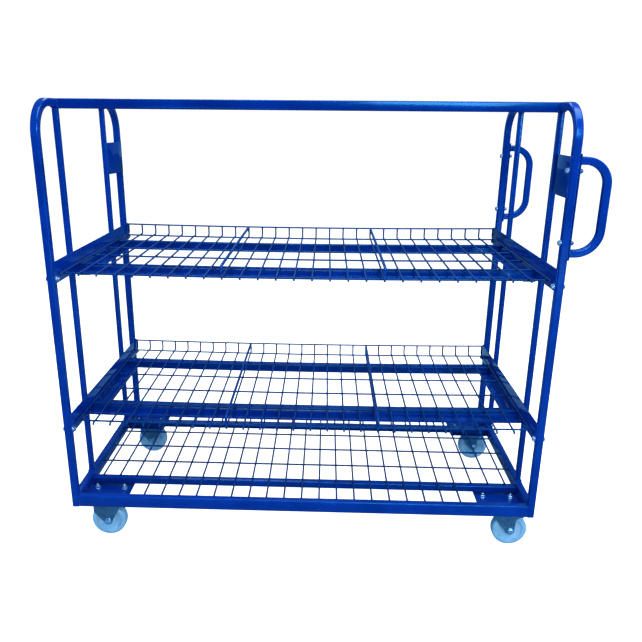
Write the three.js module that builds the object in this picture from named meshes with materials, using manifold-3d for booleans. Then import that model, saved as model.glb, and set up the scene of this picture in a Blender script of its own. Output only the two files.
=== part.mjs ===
// Plant trolley: a tube frame with two bolted wire shelves, a mesh base, push handles and four castors.
// Millimetres, +Z up, +X along the length towards the handle end, +Y from the front to the back.
import * as THREE from "three";
import { mergeVertices } from "three/addons/utils/BufferGeometryUtils.js";
import Module from "manifold-3d";

const wasm = await Module();
wasm.setup();

// Driving dimensions
const LENGTH = 1300; // over the end frames
const DEPTH = 650;
const FRAME_HEIGHT = 1100; // underside of the base to the top of the end frames
const POST = 20; // square tube of the end frames
const UPRIGHT = 15; // square tube of the inner uprights
const HOOP_RADIUS = 90; // outer bend radius of an end frame
const UPRIGHT_INSET = 145; // front or back of the frame to the middle of an inner upright
const TOP_RAIL_HEIGHT = 25;
const GAP = 0.3; // clearance between neighbouring pieces

const BASE_HEIGHT = 35;
const INNER_RAIL = { width: 22, low: 10, high: 30, front: 120.5, back: 500 };
const MOUNT_PLATE = { length: 124, thick: 4 };

const WIRE = 5.4;
const BASE_MESH = { pitch: 49.7, cross: 25, shortEnds: 3, long: [216, 316, 416] };
const SHELF_LEVELS = { upper: 666.8, lower: 245 }; // middle of the cross wires
const SHELF = {
  pitch: 46.14,
  cross: 28,
  front: 27,
  back: 643,
  longPitch: 116.4,
  longFirst: 52,
  upstand: 34.4,
  lip: 5.5,
  frontRailTop: 10.5,
  backRailTop: 8,
  seat: 33.3,
  bow: 5.5, // the ends of a shelf are this much higher than its middle
};
const ANGLE = { leg: 33, thick: 3, postDrop: 16.5, step: 10, seatFront: 162, seatBack: 570 };
const FRONT_SHELF_RAIL = { front: 162, back: 208, flange: 130, hemTop: 18, hemLow: 24, hem: 6 };
const BACK_SHELF_RAIL = { front: 541, back: 561, flange: 531, hemTop: 27.5, hemLow: 33, hem: 6 };
const FLANGE = 3; // thickness of the shelf rails' front flanges
const DIVIDER = { bar: 7, hookDrop: 22, hook: 9, front: 19.5, frontDrop: 20 };

const HANDLE = { tube: 19, low: 736, high: 976.5, reach: 81.5, radius: 66, bolts: [771, 942.6] };
const STRAP = { low: 729, high: 983, thick: 3 };
const BOLT = { shank: 4, hole: 4.5, head: 7, headHeight: 5 };
const END_PLATE = {
  low: 880,
  high: 977,
  thick: 3,
  flat: 50,
  fold: 95,
  foldSet: 2.5,
  setBack: 11,
  leftStart: 12,
};

const CASTOR = {
  height: 125,
  plateX: 105,
  plateY: 85,
  plateThick: 3,
  wheel: 50,
  wheelWidth: 30,
  hubWidth: 35,
  bore: 5.1,
  axle: 5,
  legThick: 2.5,
  legInside: 18.5,
  trail: 35,
  legEnd: 12,
  x: 568,
  frontY: 65.5,
  backY: 572,
};
const ROUND = 16; // segments of a small circle

const BLUE = new THREE.MeshStandardMaterial({ color: 0x0b34a6, roughness: 0.3, metalness: 0.1 });
const ZINC = new THREE.MeshStandardMaterial({ color: 0xb6bcc2, roughness: 0.35, metalness: 0.9 });
const NYLON = new THREE.MeshStandardMaterial({ color: 0xe6edf2, roughness: 0.45, metalness: 0 });

const trolley = new THREE.Group();
trolley.name = "plant_trolley";
trolley.position.set(-HANDLE.reach / 2, -DEPTH / 2, CASTOR.height);

function put(name, geometry, material) {
  const mesh = new THREE.Mesh(geometry, material);
  mesh.name = name;
  trolley.add(mesh);
}

function box(x0, x1, y0, y1, z0, z1) {
  return new THREE.BoxGeometry(x1 - x0, y1 - y0, z1 - z0).translate(
    (x0 + x1) / 2,
    (y0 + y1) / 2,
    (z0 + z1) / 2,
  );
}

function solid(geometry) {
  const bare = new THREE.BufferGeometry();
  const flat = geometry.index ? geometry.toNonIndexed() : geometry;
  bare.setAttribute("position", flat.getAttribute("position"));
  const merged = mergeVertices(bare, 1e-4);
  return new wasm.Manifold(
    new wasm.Mesh({
      numProp: 3,
      vertProperties: merged.attributes.position.array,
      triVerts: new Uint32Array(merged.index.array),
    }),
  );
}

function geometryOf(body) {
  const mesh = body.getMesh();
  const geometry = new THREE.BufferGeometry();
  geometry.setAttribute("position", new THREE.BufferAttribute(mesh.vertProperties, 3));
  geometry.setIndex(new THREE.BufferAttribute(mesh.triVerts, 1));
  return geometry;
}

function join(geometries) {
  return geometryOf(geometries.map(solid).reduce((whole, next) => whole.add(next)));
}

function cut(geometry, tools) {
  return geometryOf(tools.map(solid).reduce((whole, tool) => whole.subtract(tool), solid(geometry)));
}

// A profile drawn in the Y-Z plane and given a thickness from x0 to x1
function alongX(shape, x0, x1, curveSegments = 8) {
  const geometry = new THREE.ExtrudeGeometry(shape, {
    depth: x1 - x0,
    bevelEnabled: false,
    curveSegments,
  });
  const turn = new THREE.Matrix4().set(0, 0, 1, x0, 1, 0, 0, 0, 0, 1, 0, 0, 0, 0, 0, 1);
  return geometry.applyMatrix4(turn);
}

// A profile drawn in the X-Z plane and given a thickness from y0 to y1
function alongY(shape, y0, y1, curveSegments = 8) {
  const geometry = new THREE.ExtrudeGeometry(shape, {
    depth: y1 - y0,
    bevelEnabled: false,
    curveSegments,
  });
  const turn = new THREE.Matrix4().set(1, 0, 0, 0, 0, 0, -1, y1, 0, 1, 0, 0, 0, 0, 0, 1);
  return geometry.applyMatrix4(turn);
}

function outline(points) {
  return new THREE.Shape(points.map(([a, b]) => new THREE.Vector2(a, b)));
}

function rod(radius, from, to, axis, segments = ROUND) {
  const length = to - from;
  const geometry = new THREE.CylinderGeometry(radius, radius, length, segments);
  if (axis === "x") return geometry.rotateZ(-Math.PI / 2).translate((from + to) / 2, 0, 0);
  if (axis === "y") return geometry.translate(0, (from + to) / 2, 0);
  return geometry.rotateX(Math.PI / 2).translate(0, 0, (from + to) / 2);
}

// The two X limits of a piece that spans from a to b on the given side of the middle, in order
function across(side, a, b) {
  return side > 0 ? [a, b] : [-b, -a];
}

const halfLength = LENGTH / 2;
const inside = halfLength - POST; // inner face of an end frame
const ends = { left: -1, right: 1 };
const depthLines = { front: POST / 2, back: DEPTH - POST / 2 };

// End frames: one bent tube each, drilled for the handle bolts
function hoopOutline() {
  const shape = new THREE.Shape();
  const r = HOOP_RADIUS;
  const q = HOOP_RADIUS - POST;
  shape.moveTo(0, 0);
  shape.lineTo(POST, 0);
  shape.lineTo(POST, FRAME_HEIGHT - r);
  shape.absarc(r, FRAME_HEIGHT - r, q, Math.PI, Math.PI / 2, true);
  shape.lineTo(DEPTH - r, FRAME_HEIGHT - POST);
  shape.absarc(DEPTH - r, FRAME_HEIGHT - r, q, Math.PI / 2, 0, true);
  shape.lineTo(DEPTH - POST, 0);
  shape.lineTo(DEPTH, 0);
  shape.lineTo(DEPTH, FRAME_HEIGHT - r);
  shape.absarc(DEPTH - r, FRAME_HEIGHT - r, r, 0, Math.PI / 2, false);
  shape.lineTo(r, FRAME_HEIGHT);
  shape.absarc(r, FRAME_HEIGHT - r, r, Math.PI / 2, Math.PI, false);
  shape.closePath();
  return shape;
}

for (const [end, side] of Object.entries(ends)) {
  const [x0, x1] = across(side, inside, halfLength);
  const holes = Object.values(depthLines).flatMap((y) =>
    HANDLE.bolts.map((z) => rod(BOLT.hole, x0 - 1, x1 + 1, "x", 12).translate(0, y, z)),
  );
  put(`${end}_end_hoop`, cut(alongX(hoopOutline(), x0, x1, 9), holes), BLUE);

  const x = side * (halfLength - POST / 2);
  const h = UPRIGHT / 2;
  for (const [place, y] of [
    ["front", UPRIGHT_INSET],
    ["back", DEPTH - UPRIGHT_INSET],
  ]) {
    const upright = box(
      x - h,
      x + h,
      y - h,
      y + h,
      BASE_HEIGHT + GAP,
      FRAME_HEIGHT - POST - GAP,
    );
    put(`${end}_${place}_upright`, upright, BLUE);
  }
  put(`base_${end}_rail`, box(x0, x1, POST + GAP, DEPTH - POST - GAP, 0, BASE_HEIGHT), BLUE);
}

const span = inside - GAP;
put(
  "top_rail",
  box(
    -span,
    span,
    UPRIGHT_INSET - POST / 2,
    UPRIGHT_INSET + POST / 2,
    FRAME_HEIGHT - TOP_RAIL_HEIGHT,
    FRAME_HEIGHT,
  ),
  BLUE,
);

// Folded plate between the front corner post and its upright; the back one is the same, turned round
function endPlate(start) {
  const width = UPRIGHT_INSET - UPRIGHT / 2 - GAP;
  const { thick, flat, fold, foldSet, setBack, low, high } = END_PLATE;
  const x = inside - GAP - thick;
  const folds = [
    [x, start],
    [x, flat],
    [x + foldSet, fold],
    [x + setBack, width],
  ];
  const profile = outline([...folds, ...folds.map(([a, y]) => [a + thick, y]).reverse()]);
  const plate = new THREE.ExtrudeGeometry(profile, { depth: high - low, bevelEnabled: false });
  const hole = rod(BOLT.hole, x - 1, inside, "x", 12).translate(0, POST / 2, HANDLE.bolts[1]);
  return cut(plate.translate(0, 0, low), start < POST / 2 ? [hole] : []);
}
put("right_end_plate", endPlate(0), BLUE);
put("left_end_plate", endPlate(END_PLATE.leftStart).rotateZ(Math.PI).translate(0, DEPTH, 0), BLUE);

// Base: front and back rails, two inner rails, a castor plate in each corner and the mesh over them
put("base_front_rail", box(-span, span, 0, POST, 0, BASE_HEIGHT), BLUE);
put("base_back_rail", box(-span, span, DEPTH - POST, DEPTH, 0, BASE_HEIGHT), BLUE);
for (const place of ["front", "back"]) {
  const y = INNER_RAIL[place];
  const w = INNER_RAIL.width / 2;
  const rail = box(-span, span, y - w, y + w, INNER_RAIL.low, INNER_RAIL.high);
  put(`base_inner_${place}_rail`, rail, BLUE);
}

const corners = [];
for (const [end, side] of Object.entries(ends)) {
  for (const place of ["front", "back"]) {
    corners.push({ end, side, place, name: `${place}_${end}` });
  }
}

for (const { side, place, name } of corners) {
  const xs = across(side, span - MOUNT_PLATE.length, span);
  const rail = INNER_RAIL[place];
  const w = INNER_RAIL.width / 2; // the plate reaches right under the inner rail
  const ys = place === "front" ? [POST + GAP, rail + w] : [rail - w, DEPTH - POST - GAP];
  put(`castor_plate_${name}`, box(...xs, ...ys, 0, MOUNT_PLATE.thick), BLUE);
}

function baseMesh() {
  const z = INNER_RAIL.high + GAP;
  const middle = (BASE_MESH.cross - 1) / 2;
  const h = WIRE / 2;
  const wires = [];
  for (let i = 0; i < BASE_MESH.cross; i += 1) {
    const x = (i - middle) * BASE_MESH.pitch;
    const short = Math.min(i, BASE_MESH.cross - 1 - i) < BASE_MESH.shortEnds;
    const y0 = short ? INNER_RAIL.front : POST + GAP;
    const y1 = short ? INNER_RAIL.back : DEPTH - POST - GAP;
    wires.push(box(x - h, x + h, y0, y1, z, z + WIRE));
  }
  for (const y of BASE_MESH.long) {
    wires.push(box(-span, span, y - h, y + h, z - WIRE * 0.7, z + WIRE * 0.3));
  }
  return join(wires);
}
put("base_mesh", baseMesh(), BLUE);

// Shelves: end angles bolted to the posts, two rails, a wire deck bent up at the back, two dividers
function lift(x) {
  return SHELF.bow * (x / inside) ** 2;
}

// A bar along X from -half to half that follows the bow of its shelf
function bowedBar(half, y0, y1, z0, z1) {
  const geometry = new THREE.BoxGeometry(2 * half, y1 - y0, z1 - z0, 12, 1, 1);
  geometry.translate(0, (y0 + y1) / 2, (z0 + z1) / 2);
  const position = geometry.getAttribute("position");
  for (let i = 0; i < position.count; i += 1) {
    position.setZ(i, position.getZ(i) + lift(position.getX(i)));
  }
  return geometry;
}

// The upright leg is narrower at the posts; the lower leg runs only under the two rails
function angleGeometry(level, side) {
  const { leg, thick, postDrop, step, seatFront: front, seatBack: back } = ANGLE;
  const low = level + lift(span - leg) - SHELF.seat - thick;
  const high = level + SHELF.bow + SHELF.upstand;
  const shallow = level - postDrop;
  const profile = outline([
    [0, shallow],
    [front - step, shallow],
    [front, low],
    [back, low],
    [back + step, shallow],
    [DEPTH, shallow],
    [DEPTH, high],
    [0, high],
  ]);
  const wall = alongX(profile, ...across(side, span - thick, span));
  const ledge = box(...across(side, span - leg, span - 1), front, back, low, low + thick);
  return join([wall, ledge]);
}

function deckGeometry(level) {
  const h = WIRE / 2;
  const middle = (SHELF.cross - 1) / 2;
  const { front, back, lip, longFirst, longPitch } = SHELF;
  const wires = [];
  for (let i = 0; i < SHELF.cross; i += 1) {
    const x = (i - middle) * SHELF.pitch;
    const z = level + lift(x);
    wires.push(box(x - h, x + h, front - h, back - h - GAP, z - h, z + h));
    wires.push(box(x - h, x + h, front - h, front + h, z - lip, z));
  }
  const long = level - h - WIRE * 0.7;
  for (let k = 0; k < 6; k += 1) {
    const y = longFirst + k * longPitch;
    wires.push(bowedBar(deckHalf, y - h, y + h, long, long + WIRE));
  }
  return join(wires);
}

function upstandGeometry(level) {
  const h = WIRE / 2;
  const middle = (SHELF.cross - 1) / 2;
  const top = level + SHELF.upstand;
  const y = SHELF.back;
  const wires = [];
  for (let i = 0; i < SHELF.cross; i += 1) {
    const x = (i - middle) * SHELF.pitch;
    const z = lift(x);
    wires.push(box(x - h, x + h, y - h, y + h, level - h + z, top - h + z));
  }
  wires.push(bowedBar(deckHalf, y - h - WIRE * 0.7, y - h + WIRE * 0.3, top - WIRE, top));
  return join(wires);
}

// A bar at the height of the upstand, with a small hook at the back and a turned-down front end
function dividerGeometry(level, x) {
  const { bar, hook, hookDrop, front, frontDrop } = DIVIDER;
  const top = level + SHELF.upstand + lift(x);
  const back = SHELF.back - WIRE * 1.2 - GAP;
  const profile = outline([
    [front, top - frontDrop],
    [front + bar, top - frontDrop],
    [front + bar, top - bar],
    [back - hook, top - bar],
    [back, top - hookDrop],
    [back, top],
    [front, top],
  ]);
  return alongX(profile, x - bar / 2, x + bar / 2);
}

// A tube with a flange along its front that ends in a folded hem
function shelfRail(level, rail, top) {
  const low = level - SHELF.seat + GAP;
  const hemLow = level - rail.hemLow;
  const hemTop = level - rail.hemTop;
  return join([
    bowedBar(deckHalf, rail.front, rail.back, low, level - top),
    bowedBar(deckHalf, rail.flange, rail.front + 1, hemLow, hemLow + FLANGE),
    bowedBar(deckHalf, rail.flange, rail.flange + rail.hem, hemLow, hemTop),
  ]);
}

const deckHalf = inside - GAP - ANGLE.thick - GAP;
for (const [shelf, level] of Object.entries(SHELF_LEVELS)) {
  put(`${shelf}_front_rail`, shelfRail(level, FRONT_SHELF_RAIL, SHELF.frontRailTop), BLUE);
  put(`${shelf}_back_rail`, shelfRail(level, BACK_SHELF_RAIL, SHELF.backRailTop), BLUE);
  put(`${shelf}_deck`, deckGeometry(level), BLUE);
  put(`${shelf}_upstand`, upstandGeometry(level), BLUE);
  for (const [end, side] of Object.entries(ends)) {
    put(`${shelf}_${end}_angle`, angleGeometry(level, side), BLUE);
    put(`${shelf}_${end}_divider`, dividerGeometry(level, side * SHELF.pitch * 4.5), BLUE);
  }
}

// Push handles: a bent tube on a strap, bolted through the two corner posts of the right end
function handleGeometry(y) {
  const { tube, low, high, reach, radius } = HANDLE;
  const near = halfLength + GAP;
  const face = near + STRAP.thick;
  const far = halfLength + reach;
  const shape = new THREE.Shape();
  shape.moveTo(near, STRAP.low);
  shape.lineTo(face, STRAP.low);
  shape.lineTo(face, low);
  shape.absarc(far - radius, low + radius, radius, -Math.PI / 2, 0, false);
  shape.absarc(far - radius, high - radius, radius, 0, Math.PI / 2, false);
  shape.lineTo(face, high);
  shape.lineTo(face, STRAP.high);
  shape.lineTo(near, STRAP.high);
  shape.closePath();
  const opening = new THREE.Path();
  const r = radius - tube;
  opening.moveTo(face, low + tube);
  opening.lineTo(far - radius, low + tube);
  opening.absarc(far - radius, low + radius, r, -Math.PI / 2, 0, false);
  opening.absarc(far - radius, high - radius, r, 0, Math.PI / 2, false);
  opening.lineTo(face, high - tube);
  opening.closePath();
  shape.holes.push(opening);
  const holes = HANDLE.bolts.map((z) =>
    rod(BOLT.hole, near - 1, face + 1, "x", 12).translate(0, y, z),
  );
  return cut(alongY(shape, y - tube / 2, y + tube / 2), holes);
}

function boltGeometry(x0, x1, shank, head, headHeight, axis) {
  const parts = [
    rod(shank, x0 - headHeight / 2, x1 + headHeight / 2, axis),
    rod(head, x0 - headHeight, x0, axis, 6),
    rod(head, x1, x1 + headHeight, axis, 6),
  ];
  return join(parts);
}

for (const [place, y] of Object.entries(depthLines)) {
  put(`${place}_handle`, handleGeometry(y), BLUE);
  for (const [level, z] of [
    ["low", HANDLE.bolts[0]],
    ["high", HANDLE.bolts[1]],
  ]) {
    const onPlate = place === "front" && level === "high";
    const x0 = inside - GAP - (onPlate ? END_PLATE.thick + GAP : 0);
    const x1 = halfLength + STRAP.thick + 2 * GAP;
    const bolt = boltGeometry(x0, x1, BOLT.shank, BOLT.head, BOLT.headHeight, "x");
    put(`${place}_handle_bolt_${level}`, bolt.translate(0, y, z), ZINC);
  }
}

// Castors: fixed at the left end, swivelling at the handle end
const axleZ = CASTOR.wheel - CASTOR.height;

function wheelGeometry() {
  const { wheel, wheelWidth, hubWidth, bore } = CASTOR;
  const h = hubWidth / 2;
  const w = wheelWidth / 2;
  const profile = [
    [bore, -h],
    [13, -h],
    [15, -w * 0.62],
    [wheel - 12, -w * 0.62],
    [wheel - 10, -w],
    [wheel - 3, -w],
    [wheel, -w + 4],
    [wheel, w - 4],
    [wheel - 3, w],
    [wheel - 10, w],
    [wheel - 12, w * 0.62],
    [15, w * 0.62],
    [13, h],
    [bore, h],
    [bore, -h],
  ].map(([r, y]) => new THREE.Vector2(r, y));
  return new THREE.LatheGeometry(profile, 24);
}

// A leg's outline: down its left edge, round the axle and up its right edge
function legOutline(left, axleX, right) {
  const shape = new THREE.Shape();
  shape.moveTo(...right.at(-1));
  for (const point of left) shape.lineTo(...point);
  shape.absarc(axleX, axleZ, CASTOR.legEnd, Math.PI * 1.1, Math.PI * 2, false);
  for (const point of right) shape.lineTo(...point);
  shape.closePath();
  return shape;
}

function legs(shape) {
  const y = CASTOR.legInside;
  const t = CASTOR.legThick;
  return [alongY(shape, -y - t, -y, 5), alongY(shape, y, y + t, 5)];
}

function topPlate() {
  const { plateX, plateY, plateThick } = CASTOR;
  return box(-plateX / 2, plateX / 2, -plateY / 2, plateY / 2, -plateThick - GAP, -GAP);
}

function axleHole(x) {
  return rod(CASTOR.axle + 0.3, -40, 40, "y").translate(x, 0, axleZ);
}

function fixedFork() {
  const top = -CASTOR.plateThick / 2 - GAP;
  const shape = legOutline(
    [
      [-41, top],
      [-40, -46],
    ],
    0,
    [
      [37, -29],
      [49, top],
    ],
  );
  return cut(join([topPlate(), ...legs(shape)]), [axleHole(0)]);
}

const SWIVEL = { race: 28, raceLow: -9, pin: 6, crownTop: -12, crownLow: -15, head: 10 };

function swivelPlate() {
  const { race, raceLow, pin, crownLow, head } = SWIVEL;
  return join([
    topPlate(),
    rod(race, raceLow, -1, "z"),
    rod(pin, crownLow - 4, raceLow + 1, "z"),
    rod(head, crownLow - 4.5, crownLow - GAP, "z"),
  ]);
}

function swivelFork() {
  const { race, raceLow, pin, crownTop, crownLow } = SWIVEL;
  const w = CASTOR.legInside + CASTOR.legThick;
  const [crownLeft, crownRight] = [-28, 72];
  const shape = legOutline([[crownLeft, crownTop]], CASTOR.trail, [
    [48, -44],
    [52, -36],
    [60, -31],
    [crownRight, -29],
    [crownRight, crownTop],
  ]);
  const body = join([
    rod(race - 2, crownTop - 1, raceLow - GAP, "z"),
    box(crownLeft, crownRight, -w, w, crownLow, crownTop),
    ...legs(shape),
  ]);
  return cut(body, [rod(pin + 0.3, -30, 0, "z"), axleHole(CASTOR.trail)]);
}

for (const { end, side, place, name } of corners) {
  const x = side * CASTOR.x;
  const y = CASTOR[`${place}Y`];
  const swivels = end === "right";
  const wheelX = x + (swivels ? CASTOR.trail : 0);
  if (swivels) {
    put(`swivel_plate_${name}`, swivelPlate().translate(x, y, 0), ZINC);
    put(`fork_${name}`, swivelFork().translate(x, y, 0), ZINC);
  } else {
    put(`fork_${name}`, fixedFork().translate(x, y, 0), ZINC);
  }
  put(`wheel_${name}`, wheelGeometry().translate(wheelX, y, axleZ), NYLON);
  const reach = CASTOR.legInside + CASTOR.legThick + GAP;
  const axle = boltGeometry(-reach, reach, CASTOR.axle, 8, 6, "y");
  put(`axle_${name}`, axle.translate(wheelX, y, axleZ), ZINC);
}

export default trolley;
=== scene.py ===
"""Looks of the plant trolley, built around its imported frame.

Metres; +X runs along the length to the handle end, +Y from the front to the back, +Z up.
"""

import math

import bmesh
import bpy
from mathutils import Matrix, Vector


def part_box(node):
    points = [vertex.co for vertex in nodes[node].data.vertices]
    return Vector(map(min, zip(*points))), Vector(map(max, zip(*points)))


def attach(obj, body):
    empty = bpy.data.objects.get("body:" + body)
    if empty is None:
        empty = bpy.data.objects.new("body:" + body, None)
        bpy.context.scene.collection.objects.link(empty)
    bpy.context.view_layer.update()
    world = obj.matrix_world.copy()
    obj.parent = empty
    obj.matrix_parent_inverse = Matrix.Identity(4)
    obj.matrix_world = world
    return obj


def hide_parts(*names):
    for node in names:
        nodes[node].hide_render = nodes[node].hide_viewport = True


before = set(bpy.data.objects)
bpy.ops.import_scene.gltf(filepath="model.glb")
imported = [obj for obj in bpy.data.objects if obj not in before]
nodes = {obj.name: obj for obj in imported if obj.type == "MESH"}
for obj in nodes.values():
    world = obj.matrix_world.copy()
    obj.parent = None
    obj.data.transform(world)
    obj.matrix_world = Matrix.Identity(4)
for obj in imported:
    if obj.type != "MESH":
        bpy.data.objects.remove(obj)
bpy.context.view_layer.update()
scene = bpy.context.scene

ENDS = ("left", "right")
PLACES = ("front", "back")
SHELVES = ("upper", "lower")
X, Y, Z = Vector((1, 0, 0)), Vector((0, 1, 0)), Vector((0, 0, 1))

POST = 0.020  # square tube of the hoops
HOOP_RADIUS = 0.090  # outside of a bend
TUBE_CORNER = 0.0042  # rounding along a bent tube
TUBE_EDGE = {"upright": 0.0028, "rail": 0.0034}  # rounding along a straight tube

WIRE = 0.0054
WIRE_STEP = WIRE * 0.9  # between the middles of two wires that are welded across each other
WIRE_BEND = 0.007
SHELF_WIRES = 28
SHELF_PITCH = 0.04614
SHELF_LONG_WIRES = 6
SHELF_LONG_FIRST = 0.025  # from the front ends of the wires to the first long wire
SHELF_LONG_PITCH = 0.1164
SHELF_HALF = 0.630
SHELF_BOW = 0.0055  # the ends of a shelf are this much higher than its middle
DECK_LIP = 0.0055  # the front ends of the wires turn down by this
DECK_LIP_BEND = 0.003
BASE_WIRES = 25
BASE_PITCH = 0.0497
BASE_SHORT = 3  # outer base wires at each end that stop on the inner rails
BASE_LONG_WIRES = 3
BASE_LONG_FIRST = 0.1957
BASE_LONG_PITCH = 0.1

DIVIDER_NOSE = 0.020  # the front end of a divider turns down by this
DIVIDER_BEND = 0.006
STRAP = 0.003  # thickness of the strap behind a handle
STRAP_ENDS = (0.007, 0.0065)  # how far a strap runs past its handle, below and above
HANDLE_RADIUS = 0.066
HANDLE_HOLE = 0.0045
BOLT_FLATS = 0.0115
WASHER = 0.0015
ANGLE_THICK = 0.003
SHELF_BOLT_DROP = 0.0455  # below the top edge of the end angle
CASTOR_BOLTS = (0.04, 0.03)  # from the middle of a castor plate to its bolts, along X and Y
SWIVEL_TRAIL = 0.035  # from a king pin to the axle


# Materials


def node_material(name):
    material = bpy.data.materials.new(name)
    material.use_nodes = True
    tree = material.node_tree
    return material, tree, tree.nodes["Principled BSDF"]


def noise(tree, scale, detail=2.0, roughness=0.5):
    """A noise texture in object space, with its scale in waves per metre."""
    place = tree.nodes.new("ShaderNodeTexCoord")
    texture = tree.nodes.new("ShaderNodeTexNoise")
    texture.inputs["Scale"].default_value = scale
    texture.inputs["Detail"].default_value = detail
    texture.inputs["Roughness"].default_value = roughness
    tree.links.new(place.outputs["Object"], texture.inputs["Vector"])
    return texture


def ramp(tree, value, stops):
    """A colour ramp over a value; stops are (position, colour)."""
    node = tree.nodes.new("ShaderNodeValToRGB")
    elements = node.color_ramp.elements
    while len(elements) < len(stops):
        elements.new(0.5)
    for element, (position, colour) in zip(elements, stops):
        element.position = position
        element.color = (*colour, 1)
    tree.links.new(value, node.inputs["Fac"])
    return node.outputs["Color"]


def spread(tree, value, low, high):
    """Maps a value of 0 to 1 onto low to high."""
    node = tree.nodes.new("ShaderNodeMapRange")
    node.inputs["To Min"].default_value = low
    node.inputs["To Max"].default_value = high
    tree.links.new(value, node.inputs["Value"])
    return node.outputs["Result"]


def bump(tree, shader, heights):
    """Stacks height textures, each with its depth in metres, into the shader's normal."""
    normal = None
    for height, depth in heights:
        node = tree.nodes.new("ShaderNodeBump")
        node.inputs["Distance"].default_value = depth
        tree.links.new(height, node.inputs["Height"])
        if normal:
            tree.links.new(normal, node.inputs["Normal"])
        normal = node.outputs["Normal"]
    tree.links.new(normal, shader.inputs["Normal"])


def powder_coat(name, dark, mid, light, rough=0.2, coat=0.05, peel_depth=0.00006):
    """Blue powder coat with soft clouds of colour, orange peel and fine dust."""
    material, tree, shader = node_material(name)
    cloud = noise(tree, 9, 4)
    stops = [(0.3, dark), (0.5, mid), (0.72, light)]
    tree.links.new(ramp(tree, cloud.outputs["Fac"], stops), shader.inputs["Base Color"])
    peel = noise(tree, 520, 2)
    dust = noise(tree, 2600, 1)
    gloss = noise(tree, 60, 3)
    tree.links.new(
        spread(tree, gloss.outputs["Fac"], rough * 0.65, rough * 1.35),
        shader.inputs["Roughness"],
    )
    bump(
        tree,
        shader,
        [(peel.outputs["Fac"], peel_depth), (dust.outputs["Fac"], peel_depth / 4)],
    )
    shader.inputs["Coat Weight"].default_value = coat
    shader.inputs["Coat Roughness"].default_value = 0.06
    shader.inputs["Specular IOR Level"].default_value = 0.5
    shader.inputs["Specular Tint"].default_value = (0.03, 0.5, 1.0, 1)
    return material


def zinc(name, dark, light, rough):
    """Zinc plate with patches of colour and a fine grain."""
    material, tree, shader = node_material(name)
    patch = noise(tree, 45, 5, 0.65)
    grain = noise(tree, 1400, 2)
    tree.links.new(
        ramp(tree, patch.outputs["Fac"], [(0.32, dark), (0.68, light)]),
        shader.inputs["Base Color"],
    )
    tree.links.new(
        spread(tree, patch.outputs["Fac"], rough - 0.1, rough + 0.14),
        shader.inputs["Roughness"],
    )
    bump(tree, shader, [(grain.outputs["Fac"], 0.00008)])
    shader.inputs["Metallic"].default_value = 0.9
    return material


def nylon_material():
    """Pale nylon of the wheels, scuffed and a little translucent."""
    material, tree, shader = node_material("nylon")
    cloud = noise(tree, 24, 3)
    scuff = noise(tree, 240, 5, 0.7)
    tree.links.new(
        ramp(tree, cloud.outputs["Fac"], [(0.3, (0.21, 0.43, 0.63)), (0.7, (0.34, 0.56, 0.78))]),
        shader.inputs["Base Color"],
    )
    tree.links.new(spread(tree, scuff.outputs["Fac"], 0.3, 0.55), shader.inputs["Roughness"])
    bump(tree, shader, [(scuff.outputs["Fac"], 0.00012)])
    shader.inputs["Subsurface Weight"].default_value = 0.25
    shader.inputs["Subsurface Radius"].default_value = (0.004, 0.005, 0.006)
    return material


BLUE = powder_coat("powder_coat", (0, 0.017, 0.19), (0.001, 0.023, 0.235), (0.002, 0.031, 0.28))
# A darker copy of the same powder coat: painted shade on the inner base rails, the shelf rails, the
# top rail and the divider bars.
BLUE_PAINTED_SHADE = powder_coat(
    "powder_coat_painted_shade", (0, 0.012, 0.15), (0, 0.017, 0.19), (0, 0.023, 0.24), peel_depth=0.00004
)
BLUE_PALE = powder_coat(
    "powder_coat_pale",
    (0, 0.016, 0.20),
    (0, 0.022, 0.24),
    (0.001, 0.030, 0.30),
    rough=0.07,
    coat=0.3,
    peel_depth=0.00001,
)
# A darker copy of the same powder coat for the thin wires of the decks and the base: painted shade.
BLUE_WIRE_PAINTED_SHADE = powder_coat(
    "powder_coat_wire_painted_shade", (0, 0.012, 0.10), (0, 0.018, 0.14), (0, 0.024, 0.19), rough=0.45, coat=0
)
BRIGHT_ZINC = zinc("bright_zinc", (0.22, 0.42, 0.66), (0.42, 0.64, 0.88), 0.26)
# A darker zinc: the duller plating of the forks, swivel plates and nuts, and painted shade on the back
# shelf bolt heads.
DULL_ZINC_AND_SHADE = zinc("dull_zinc_and_shade", (0.07, 0.16, 0.29), (0.14, 0.27, 0.42), 0.42)
NYLON = nylon_material()


# Mesh helpers


def add_piece(name, bm, material, stands_for=(), body="frame", smooth=40):
    """Makes a piece of the trolley from a bmesh and lets it ride on a body."""
    bmesh.ops.recalc_face_normals(bm, faces=bm.faces)
    mesh = bpy.data.meshes.new(name)
    bm.to_mesh(mesh)
    bm.free()
    mesh.materials.append(material)
    mesh.shade_smooth()
    mesh.set_sharp_from_angle(angle=math.radians(smooth))
    piece = bpy.data.objects.new(name, mesh)
    scene.collection.objects.link(piece)
    even_normals(piece)
    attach(piece, body)
    if stands_for:
        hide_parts(*stands_for)
    return piece


def even_normals(piece):
    """Keeps flat faces flat where they run into rounded edges."""
    modifier = piece.modifiers.new("even normals", "WEIGHTED_NORMAL")
    modifier.keep_sharp = True


def round_section(radius, count=10):
    turn = 2 * math.pi / count
    return [(radius * math.cos(k * turn), radius * math.sin(k * turn)) for k in range(count)]


def square_section(width, height, corner, steps=4):
    """A rectangle with rounded corners, width across the path's plane and height along it."""
    points = []
    for k, (sx, sy) in enumerate(((1, 1), (-1, 1), (-1, -1), (1, -1))):
        for i in range(steps + 1):
            angle = (k + i / steps) * math.pi / 2
            points.append(
                (
                    sx * (width / 2 - corner) + corner * math.cos(angle),
                    sy * (height / 2 - corner) + corner * math.sin(angle),
                )
            )
    return points


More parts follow.
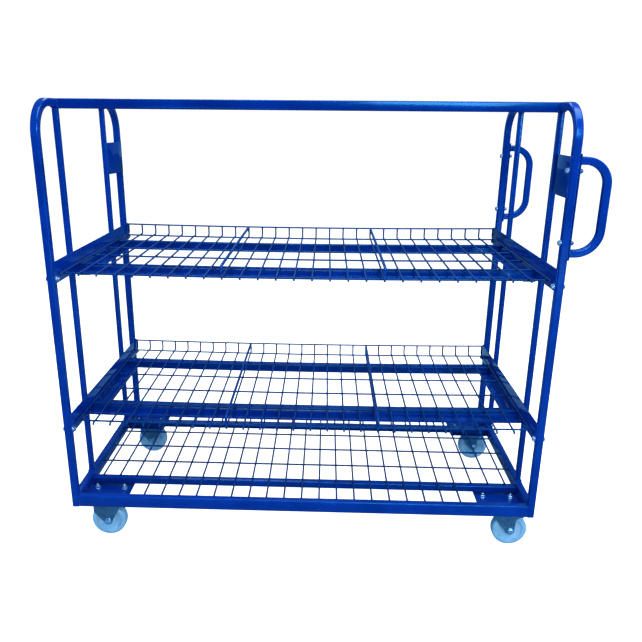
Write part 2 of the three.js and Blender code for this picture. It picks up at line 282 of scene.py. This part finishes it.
def rounded_path(points, radii, steps=5):
    """A path through the points, with every inner corner turned into an arc of its own radius."""
    path = [Vector(points[0])]
    corners = zip(points, points[1:], points[2:], radii)
    for before, corner, after, radius in corners:
        corner = Vector(corner)
        into = (corner - Vector(before)).normalized()
        out = (Vector(after) - corner).normalized()
        bend = into.angle(out)
        reach = radius * math.tan(bend / 2)
        centre = corner + (out - into).normalized() * radius / math.cos(bend / 2)
        start = corner - into * reach - centre
        axis = into.cross(out).normalized()
        for i in range(steps + 1):
            path.append(centre + Matrix.Rotation(bend * i / steps, 3, axis) @ start)
    path.append(Vector(points[-1]))
    return path


def sweep(bm, path, section, side, scale=None):
    """A closed tube along a path in the plane whose normal is side."""
    rings = []
    last = len(path) - 1
    for i, point in enumerate(path):
        along = (path[min(i + 1, last)] - path[max(i - 1, 0)]).normalized()
        across = side.cross(along)
        size = scale[i] if scale else 1
        rings.append([bm.verts.new(point + (across * a + side * b) * size) for a, b in section])
    stitch(bm, rings)
    bm.faces.new(rings[0][::-1])
    bm.faces.new(rings[-1])


def stitch(bm, rings):
    """Joins each ring of points to the next with faces."""
    count = len(rings[0])
    for ring, following in zip(rings, rings[1:]):
        for k in range(count):
            m = (k + 1) % count
            bm.faces.new((ring[k], ring[m], following[m], following[k]))


def lathe(bm, profile, centre, axis, count=48):
    """Turns a closed profile of (radius, height) round an axis."""
    first = axis.orthogonal().normalized()
    second = axis.cross(first)
    rings = []
    for k in range(count):
        angle = 2 * math.pi * k / count
        out = first * math.cos(angle) + second * math.sin(angle)
        rings.append([bm.verts.new(centre + out * r + axis * h) for r, h in profile])
    stitch(bm, [*rings, rings[0]])


def disc_stack(bm, profile, centre, axis, count=24, phase=0.0):
    """A solid turned round an axis from (radius, height) steps, closed at both ends."""
    first = Matrix.Rotation(phase, 3, axis) @ axis.orthogonal().normalized()
    second = axis.cross(first)
    rings = []
    for r, h in profile:
        ring = []
        for k in range(count):
            angle = 2 * math.pi * k / count
            out = first * math.cos(angle) + second * math.sin(angle)
            ring.append(bm.verts.new(centre + out * r + axis * h))
        rings.append(ring)
    stitch(bm, rings)
    bm.faces.new(rings[0][::-1])
    bm.faces.new(rings[-1])


def hexagon(bm, centre, axis, flats, height, phase=0.0):
    """A chamfered hexagon that stands on centre and points along axis."""
    corner = flats / math.sqrt(3)
    chamfer = height * 0.12
    profile = [(corner, 0), (corner, height - chamfer), (corner - chamfer * 1.6, height)]
    disc_stack(bm, profile, centre, axis, 6, phase)


def washer(bm, centre, axis, flats):
    profile = [(flats * 0.64, 0), (flats * 0.64, 0.0011), (flats * 0.61, WASHER)]
    disc_stack(bm, profile, centre, axis, 28)


def bolt_head(bm, centre, axis, flats=BOLT_FLATS, height=0.0046):
    """A washer and a hexagon head with a raised round face."""
    washer(bm, centre, axis, flats)
    hexagon(bm, centre + axis * WASHER, axis, flats, height, 0.3)
    top = centre + axis * (WASHER + height)
    disc_stack(bm, [(flats * 0.36, 0), (flats * 0.33, 0.0006)], top, axis, 20)


def bolt_nut(bm, centre, axis, flats=BOLT_FLATS, height=0.0048, stub=0.0022):
    """A washer, a nut and the end of the thread that stands out of it by stub."""
    washer(bm, centre, axis, flats)
    hexagon(bm, centre + axis * WASHER, axis, flats, height, 0.1)
    radius = flats * 0.29
    thread = [(radius, 0), (radius, stub * 0.7), (radius * 0.75, stub)]
    disc_stack(bm, thread, centre + axis * (WASHER + height), axis, 20)


def weld_bead(bm, corners, radius, pitch=0.0028):
    """A rippled bead round a loop of corners, as a row of overlapping drops."""
    loop = [*corners, corners[0]]
    phase = 0.0
    for a, b in zip(loop, loop[1:]):
        length = (b - a).length
        count = max(2, round(length / pitch))
        for i in range(count):
            phase += 1
            size = radius * (1 + 0.16 * math.sin(phase * 2.3) + 0.1 * math.sin(phase * 5.1))
            drop = bmesh.ops.create_icosphere(bm, subdivisions=2, radius=size)
            bmesh.ops.translate(bm, verts=drop["verts"], vec=a.lerp(b, i / count))


def rectangle_round(centre, u, v, half_u, half_v):
    """The four corners of a rectangle in the plane of u and v."""
    signs = ((1, 1), (-1, 1), (-1, -1), (1, -1))
    return [centre + u * (half_u * a) + v * (half_v * b) for a, b in signs]


# CAD pieces that keep their shape: rolled edges and a material


def keep_node(name, material, edge, segments=3):
    """Shows a CAD piece as it is, with rounded edges and a material."""
    node = nodes[name]
    node.data.materials.clear()
    node.data.materials.append(material)
    weld = node.modifiers.new("weld", "WELD")
    weld.merge_threshold = 0.00001
    bevel = node.modifiers.new("rolled edges", "BEVEL")
    bevel.width = edge
    bevel.segments = segments
    bevel.angle_limit = math.radians(35)
    bevel.harden_normals = True
    node.data.shade_smooth()


for end in ENDS:
    keep_node(f"{end}_end_plate", BLUE_PALE, 0.0008)
    keep_node(f"base_{end}_rail", BLUE, TUBE_EDGE["rail"])
    for place in PLACES:
        keep_node(f"{end}_{place}_upright", BLUE, TUBE_EDGE["upright"])
        keep_node(f"castor_plate_{place}_{end}", BLUE, 0.0007)
        keep_node(f"fork_{place}_{end}", DULL_ZINC_AND_SHADE, 0.0007, 2)
for place in PLACES:
    keep_node(f"base_{place}_rail", BLUE, TUBE_EDGE["rail"])
    # The inner base rails take the darker copy of the coat: painted shade.
    keep_node(f"base_inner_{place}_rail", BLUE_PAINTED_SHADE, TUBE_EDGE["rail"])
    keep_node(f"swivel_plate_{place}_right", DULL_ZINC_AND_SHADE, 0.0006, 2)
    for shelf in SHELVES:
        # The shelf rails take the darker copy of the coat: painted shade.
        keep_node(f"{shelf}_{place}_rail", BLUE_PAINTED_SHADE, 0.0012)
for shelf in SHELVES:
    for end in ENDS:
        keep_node(f"{shelf}_{end}_angle", BLUE_PALE, 0.0009)
# The top rail takes the darker copy of the coat: painted shade.
keep_node("top_rail", BLUE_PAINTED_SHADE, TUBE_EDGE["rail"])


# End hoops: one bent square tube each


def drill(piece, centre, axis, radius, length):
    """Cuts a round hole through a piece."""
    bm = bmesh.new()
    disc_stack(bm, [(radius, -length / 2), (radius, length / 2)], centre, axis, 20)
    bmesh.ops.recalc_face_normals(bm, faces=bm.faces)
    mesh = bpy.data.meshes.new("drill")
    bm.to_mesh(mesh)
    bm.free()
    tool = bpy.data.objects.new("drill", mesh)
    scene.collection.objects.link(tool)
    cut = piece.modifiers.new("hole", "BOOLEAN")
    cut.object = tool
    cut.operation = "DIFFERENCE"
    bpy.context.view_layer.update()
    shown = piece.evaluated_get(bpy.context.evaluated_depsgraph_get())
    drilled = bpy.data.meshes.new_from_object(shown)
    piece.modifiers.clear()
    piece.data = drilled
    bpy.data.objects.remove(tool)


hoop_section = square_section(POST, POST, TUBE_CORNER)
HANDLE_BOLTS = [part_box(f"front_handle_bolt_{level}") for level in ("low", "high")]
BOLT_HEIGHTS = [(low.z + high.z) / 2 for low, high in HANDLE_BOLTS]

for end in ENDS:
    low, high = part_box(f"{end}_end_hoop")
    x = (low.x + high.x) / 2
    h = POST / 2
    corners = [
        (x, low.y + h, low.z),
        (x, low.y + h, high.z - h),
        (x, high.y - h, high.z - h),
        (x, high.y - h, low.z),
    ]
    path = rounded_path(corners, [HOOP_RADIUS - h] * 2, 16)
    bm = bmesh.new()
    sweep(bm, path, hoop_section, X)
    hoop = add_piece(f"{end}_hoop", bm, BLUE, [f"{end}_end_hoop"], smooth=50)
    if end == "left":
        hoop.modifiers.clear()
        for y in (low.y + h, high.y - h):
            for z in BOLT_HEIGHTS:
                drill(hoop, Vector((x, y, z)), X, HANDLE_HOLE, 3 * POST)
        even_normals(hoop)


# Wire decks, upstands, dividers and the base mesh

wire = round_section(WIRE / 2, 10)


def lift(distance):
    """How much higher a shelf is at a distance from its middle."""
    return SHELF_BOW * (distance / SHELF_HALF) ** 2


def bowed_line(x0, x1, y, z, count=16):
    """A line along X that follows the bow of its shelf."""
    middle = (x0 + x1) / 2
    steps = [x0 + (x1 - x0) * k / count for k in range(count + 1)]
    return [Vector((x, y, z + lift(x - middle))) for x in steps]


for shelf in SHELVES:
    low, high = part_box(f"{shelf}_deck")
    up_low, up_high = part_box(f"{shelf}_upstand")
    shelf_middle = (low.x + high.x) / 2
    h = WIRE / 2
    level = high.z - h - lift((SHELF_WIRES - 1) / 2 * SHELF_PITCH)
    front, back = low.y + h, up_high.y - h
    top = up_high.z - h - lift(high.x - shelf_middle)
    bm = bmesh.new()
    for k in range(SHELF_WIRES):
        x = shelf_middle + (k - (SHELF_WIRES - 1) / 2) * SHELF_PITCH
        corners = [(front, level - DECK_LIP), (front, level), (back, level), (back, top)]
        points = [(x, y, height + lift(x - shelf_middle)) for y, height in corners]
        path = rounded_path(points, [DECK_LIP_BEND, WIRE_BEND])
        sweep(bm, path, wire, X)
    for k in range(SHELF_LONG_WIRES):
        y = front + SHELF_LONG_FIRST + k * SHELF_LONG_PITCH
        sweep(bm, bowed_line(low.x, high.x, y, level - WIRE_STEP), wire, Y)
    sweep(bm, bowed_line(low.x, high.x, back - WIRE_STEP, top), wire, Y)
    # The deck wires take the darker copy of the coat: painted shade.
    add_piece(
        f"{shelf}_wires", bm, BLUE_WIRE_PAINTED_SHADE, [f"{shelf}_deck", f"{shelf}_upstand"]
    )

    for end in ENDS:
        low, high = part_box(f"{shelf}_{end}_divider")
        x = (low.x + high.x) / 2
        r = (high.x - low.x) / 2
        front_low = high.z - DIVIDER_NOSE
        bm = bmesh.new()
        path = rounded_path(
            [
                (x, low.y + r, front_low),
                (x, low.y + r, high.z - r),
                (x, high.y - r, high.z - r),
            ],
            [DIVIDER_BEND],
            8,
        )
        sweep(bm, path, square_section(2 * r, 2 * r, 0.002, 3), X)
        knob = Vector((x, low.y + r, front_low + 0.001))
        ball = bmesh.ops.create_icosphere(bm, subdivisions=3, radius=r * 0.98)
        bmesh.ops.translate(bm, verts=ball["verts"], vec=knob)
        hook = [
            Vector((x, high.y - 0.0055, high.z - 0.002)),
            Vector((x, high.y - 0.0050, high.z - 0.012)),
            Vector((x, high.y - 0.0022, high.z - 0.0215)),
        ]
        sweep(bm, hook, square_section(0.0075, 0.0068, 0.001, 2), X, [1, 1, 0.45])
        # The divider bars take the darker copy of the coat: painted shade.
        add_piece(f"{shelf}_{end}_bar", bm, BLUE_PAINTED_SHADE, [f"{shelf}_{end}_divider"])

low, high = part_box("base_mesh")
inner_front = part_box("base_inner_front_rail")
inner_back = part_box("base_inner_back_rail")
bm = bmesh.new()
middle = (low.x + high.x) / 2
z = high.z - WIRE / 2
for k in range(BASE_WIRES):
    x = middle + (k - (BASE_WIRES - 1) / 2) * BASE_PITCH
    short = min(k, BASE_WIRES - 1 - k) < BASE_SHORT
    y0 = (inner_front[0].y + inner_front[1].y) / 2 if short else low.y
    y1 = (inner_back[0].y + inner_back[1].y) / 2 if short else high.y
    sweep(bm, [Vector((x, y0, z)), Vector((x, y1, z))], wire, X)
for k in range(BASE_LONG_WIRES):
    y = low.y + BASE_LONG_FIRST + k * BASE_LONG_PITCH
    a = Vector((low.x, y, z - WIRE_STEP))
    sweep(bm, [a, Vector((high.x, y, a.z))], wire, Z)
# The base wires take the darker copy of the coat: painted shade.
add_piece("base_wires", bm, BLUE_WIRE_PAINTED_SHADE, ["base_mesh"])


# Push handles with their bolts

for place in PLACES:
    low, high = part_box(f"{place}_handle")
    tube = high.y - low.y
    y = (low.y + high.y) / 2
    r = tube / 2
    bottom, top = low.z + STRAP_ENDS[0] + r, high.z - STRAP_ENDS[1] - r
    bm = bmesh.new()
    path = rounded_path(
        [
            (low.x + STRAP, y, bottom),
            (high.x - r, y, bottom),
            (high.x - r, y, top),
            (low.x + STRAP, y, top),
        ],
        [HANDLE_RADIUS - r] * 2,
        14,
    )
    sweep(bm, path, square_section(tube, tube, TUBE_CORNER), Y)
    add_piece(f"{place}_grip", bm, BLUE, [f"{place}_handle"], smooth=50)
    bm = bmesh.new()
    x = low.x + STRAP / 2
    strap_line = [Vector((x, y, low.z)), Vector((x, y, high.z))]
    sweep(bm, strap_line, square_section(STRAP, tube, 0.0008, 2), Y)
    add_piece(f"{place}_strap", bm, BLUE)
    bm = bmesh.new()
    for z in (bottom, top):
        centre = Vector((low.x + STRAP + 0.001, y, z))
        weld_bead(bm, rectangle_round(centre, Y, Z, r - 0.0014, r - 0.0014), 0.0017)
    add_piece(f"{place}_handle_welds", bm, BLUE)
    for level in ("low", "high"):
        node = f"{place}_handle_bolt_{level}"
        low_b, high_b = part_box(node)
        z = (low_b.z + high_b.z) / 2
        bm = bmesh.new()
        bolt_head(bm, Vector((low_b.x + 0.005, y, z)), -X)
        add_piece(f"{place}_grip_bolt_{level}", bm, BRIGHT_ZINC, [node], smooth=25)
        bm = bmesh.new()
        bolt_nut(bm, Vector((high_b.x - 0.005, y, z)), X, 0.0105)
        add_piece(f"{place}_grip_nut_{level}", bm, DULL_ZINC_AND_SHADE, smooth=25)


# Castors

for place in PLACES:
    for end in ENDS:
        name = f"{place}_{end}"
        low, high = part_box(f"wheel_{name}")
        centre = (low + high) / 2
        radius = (high.z - low.z) / 2
        w = 0.015
        hub = (high.y - low.y) / 2
        half = [
            (0.0052, hub),
            (0.0105, hub),
            (0.0118, hub - 0.0012),
            (0.0126, w - 0.0045),
            (0.0150, w - 0.0062),
            (0.0320, w - 0.0050),
            (0.0352, w - 0.0036),
            (0.0368, w - 0.0006),
            (0.0384, w),
            (0.0440, w),
            (0.0472, w - 0.0012),
            (0.0492, w - 0.0038),
            (radius, w - 0.0078),
        ]
        profile = [*half, *[(r, -y) for r, y in reversed(half)]]
        bm = bmesh.new()
        lathe(bm, profile, centre, Y, 72)
        body = f"wheel_{name}"
        add_piece(f"tread_{name}", bm, NYLON, [f"wheel_{name}"], body, 32)

        a_low, a_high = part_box(f"axle_{name}")
        body = "frame" if end == "left" else f"castor_{name}"
        bm = bmesh.new()
        x, z = centre.x, centre.z
        disc_stack(
            bm,
            [(0.005, 0), (0.005, a_high.y - a_low.y - 0.02)],
            Vector((x, a_low.y + 0.01, z)),
            Y,
            24,
        )
        bolt_head(bm, Vector((x, a_low.y + 0.006, z)), -Y, 0.0145, 0.0042)
        bolt_nut(bm, Vector((x, a_high.y - 0.006, z)), Y, 0.0140, 0.0042, 0.0003)
        add_piece(
            f"axle_bolt_{name}", bm, BRIGHT_ZINC, [f"axle_{name}"], body, 25
        )

        plate_low, plate_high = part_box(f"castor_plate_{name}")
        pin_x = centre.x if end == "left" else centre.x - SWIVEL_TRAIL
        reach_x, reach_y = CASTOR_BOLTS
        bm = bmesh.new()
        for dx in (-reach_x, reach_x):
            for dy in (-reach_y, reach_y):
                spot = Vector((pin_x + dx, centre.y + dy, plate_high.z))
                bolt_nut(bm, spot, Z, 0.013, 0.0062, 0.006)
                under = Vector((pin_x + dx, centre.y + dy, plate_low.z - 0.0033))
                bolt_head(bm, under, -Z)
        add_piece(f"castor_bolts_{name}", bm, BRIGHT_ZINC, smooth=25)


# Shelf bolts through the corner posts

for shelf in SHELVES:
    for end, side in (("left", -1), ("right", 1)):
        low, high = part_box(f"{shelf}_{end}_angle")
        post_low, post_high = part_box(f"{end}_end_hoop")
        inner = high.x - ANGLE_THICK if side > 0 else low.x + ANGLE_THICK
        outer = post_high.x if side > 0 else post_low.x
        z = high.z - SHELF_BOLT_DROP
        for place, y in (("front", post_low.y + POST / 2), ("back", post_high.y - POST / 2)):
            bm = bmesh.new()
            bolt_head(bm, Vector((inner, y, z)), -X * side)
            # The back bolt heads take the darker zinc as painted shade; the front ones keep the bright
            # zinc.
            finish = BRIGHT_ZINC if place == "front" else DULL_ZINC_AND_SHADE
            add_piece(f"{shelf}_{end}_{place}_bolt", bm, finish, smooth=25)
            bm = bmesh.new()
            bolt_nut(bm, Vector((outer, y, z)), X * side, 0.0100, 0.0022, 0.0004)
            add_piece(f"{shelf}_{end}_{place}_nut", bm, DULL_ZINC_AND_SHADE, smooth=25)


# Welds of the frame

for end, side in (("left", -1), ("right", 1)):
    low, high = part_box(f"{end}_end_hoop")
    bm = bmesh.new()
    for place in PLACES:
        up_low, up_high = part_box(f"{end}_{place}_upright")
        centre = (up_low + up_high) / 2
        half = (up_high.x - up_low.x) / 2
        for z in (up_high.z + 0.0002, up_low.z):
            ring = rectangle_round(Vector((centre.x, centre.y, z)), X, Y, half + 0.0004, half + 0.0004)
            weld_bead(bm, ring, 0.0027)
    rail_low, rail_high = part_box("top_rail")
    rail = (rail_low + rail_high) / 2
    x = rail_low.x if side < 0 else rail_high.x
    half_y = (rail_high.y - rail_low.y) / 2 - 0.0018
    half_z = (rail_high.z - rail_low.z) / 2 - 0.0018
    ring = rectangle_round(Vector((x, rail.y, rail.z)), Y, Z, half_y, half_z)
    weld_bead(bm, ring, 0.0019)
    for place in PLACES:
        r_low, r_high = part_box(f"base_{place}_rail")
        x = r_low.x if side < 0 else r_high.x
        mid = (r_low + r_high) / 2
        half = (r_high - r_low) / 2
        ring = rectangle_round(Vector((x, mid.y, mid.z)), Y, Z, half.y - 0.002, half.z - 0.002)
        weld_bead(bm, ring, 0.0018)
    add_piece(f"{end}_welds", bm, BLUE)


# Studio: pale floor, soft lights and the camera


def stage_plane(name, height, colour, glow):
    """A wide plane of the stage with a matt finish and an even glow."""
    bm = bmesh.new()
    bmesh.ops.create_grid(bm, x_segments=1, y_segments=1, size=30)
    bmesh.ops.translate(bm, verts=bm.verts, vec=(0, 0, height))
    mesh = bpy.data.meshes.new(name)
    bm.to_mesh(mesh)
    bm.free()
    plane = bpy.data.objects.new(name, mesh)
    scene.collection.objects.link(plane)
    material, _, shader = node_material(name)
    shader.inputs["Base Color"].default_value = (*colour, 1)
    shader.inputs["Roughness"].default_value = 0.9
    shader.inputs["Specular IOR Level"].default_value = 0
    shader.inputs["Emission Color"].default_value = (1, 1, 1, 1)
    shader.inputs["Emission Strength"].default_value = glow
    mesh.materials.append(material)
    return plane


def studio_stage():
    """A white floor and backdrop for the camera, and a grey floor for the light that bounces."""
    floor = stage_plane("floor", 0, (0.6, 0.6, 0.6), 1.1)
    bounce = stage_plane("bounce_floor", -0.002, (0.12, 0.27, 0.38), 0)
    bm = bmesh.new()
    bmesh.ops.create_icosphere(bm, subdivisions=4, radius=28)
    mesh = bpy.data.meshes.new("backdrop")
    bm.to_mesh(mesh)
    bm.free()
    backdrop = bpy.data.objects.new("backdrop", mesh)
    scene.collection.objects.link(backdrop)
    material, tree, shader = node_material("backdrop")
    shader.inputs["Base Color"].default_value = (0, 0, 0, 1)
    shader.inputs["Specular IOR Level"].default_value = 0
    shader.inputs["Emission Color"].default_value = (1, 1, 1, 1)
    shader.inputs["Emission Strength"].default_value = 1.1
    mesh.materials.append(material)
    for seen in (floor, backdrop):
        seen.visible_diffuse = False
        seen.visible_glossy = False
        seen.visible_transmission = False
        seen.visible_shadow = False
    bounce.visible_camera = False


def area_light(name, place, target, size, power, colour=(1, 1, 1)):
    data = bpy.data.lights.new(name, "AREA")
    data.shape = "RECTANGLE"
    data.size, data.size_y = size
    data.energy = power
    data.color = colour
    light = bpy.data.objects.new(name, data)
    scene.collection.objects.link(light)
    light.location = place
    light.rotation_euler = (Vector(target) - Vector(place)).to_track_quat("-Z", "Y").to_euler()


def studio_world():
    world = bpy.data.worlds.new("studio")
    world.use_nodes = True
    surface = world.node_tree.nodes["Background"]
    surface.inputs["Color"].default_value = (0.2, 0.66, 1, 1)
    surface.inputs["Strength"].default_value = 0.34
    scene.world = world


def studio_camera():
    """The camera of the front view, from its place and its yaw, pitch and roll in radians."""
    data = bpy.data.cameras.new("camera")
    data.lens = 36.84
    data.sensor_width = 36
    data.shift_x = 0.0229
    data.shift_y = 0.0082
    camera = bpy.data.objects.new("camera", data)
    scene.collection.objects.link(camera)
    yaw, pitch, roll = -0.0283, 0.3092, 0.0085
    ahead = Vector(
        (math.sin(yaw) * math.cos(pitch), math.cos(yaw) * math.cos(pitch), -math.sin(pitch))
    )
    level = Vector((math.cos(yaw), -math.sin(yaw), 0))
    upward = level.cross(ahead)
    right = level * math.cos(roll) + upward * math.sin(roll)
    up = upward * math.cos(roll) - level * math.sin(roll)
    turn = Matrix((right, up, -ahead)).transposed()
    camera.matrix_world = Matrix.Translation((0.01486, -1.92581, 1.18603)) @ turn.to_4x4()
    scene.camera = camera


studio_stage()
studio_world()
area_light("top", (0.3, -0.6, 3.4), (0, 0, 0.6), (3.2, 1.8), 110)
area_light("front", (0.9, -3.4, 2.5), (0, 0, 0.6), (1.6, 1.2), 100)
area_light("left_strip", (-3.2, -1.5, 1.4), (0, 0, 0.7), (0.4, 2.4), 30, (0.2, 0.66, 1))
area_light("right_strip", (3.2, -1.7, 1.4), (0, 0, 0.7), (0.4, 2.4), 36, (0.2, 0.66, 1))
area_light("low_front", (0.2, -2.8, 0.30), (0, 0.2, 0.15), (3.0, 0.3), 9, (0.6, 0.85, 1))
area_light("back", (-0.6, 2.6, 3.6), (0, 0, 0.6), (2.0, 1.4), 40)
studio_camera()
scene.view_settings.view_transform = "Standard"
